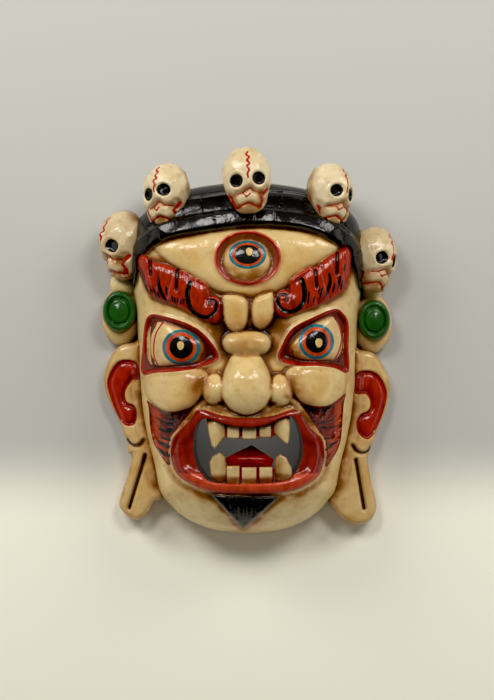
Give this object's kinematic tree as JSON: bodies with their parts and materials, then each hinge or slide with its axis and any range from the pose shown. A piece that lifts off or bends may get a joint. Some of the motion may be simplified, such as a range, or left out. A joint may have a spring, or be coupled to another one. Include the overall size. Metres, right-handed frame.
{
  "type": "bhairab mask",
  "caption": "Carved and painted wooden face mask of a wrathful guardian, with a skull crown, long ears and an open fanged mouth, hollow behind.",
  "frame": {"origin": "middle of the mask's bounding box in plan, on the plane of its flat back", "axes": "+Z out of the face, +Y to the crown, +X to the viewer's right as the mask faces the viewer"},
  "size_m": [0.2742, 0.35, 0.1088],
  "materials": {
    "painted_wood": "carved light wood under tempera paint, brown antique wash and gloss varnish"
  },
  "bodies": {
    "root": {"mask": "painted_wood"}
  },
  "joints": []
}
